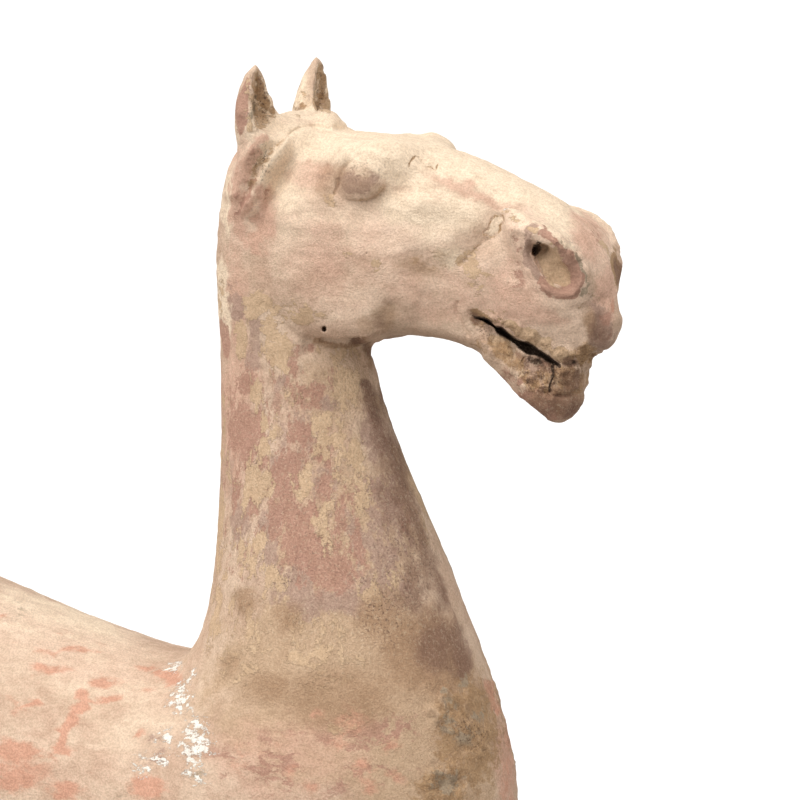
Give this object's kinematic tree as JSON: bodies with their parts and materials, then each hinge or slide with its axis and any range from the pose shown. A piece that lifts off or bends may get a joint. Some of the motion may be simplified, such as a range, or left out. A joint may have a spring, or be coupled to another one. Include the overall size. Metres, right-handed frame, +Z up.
{
  "type": "painted pottery horse figure",
  "caption": "Standing horse of painted, fired clay on a low slab, head turned straight ahead, worn paint, for display on a flat surface.",
  "frame": {"origin": "centre of the slab's underside", "axes": "+X towards the horse's head, +Y towards the horse's left side, +Z up"},
  "size_m": [0.5169, 0.1864, 0.6812],
  "materials": {
    "painted_clay": "matt fired clay with worn cream and pink slip"
  },
  "bodies": {
    "root": {"horse_figure": "painted_clay"}
  },
  "joints": []
}
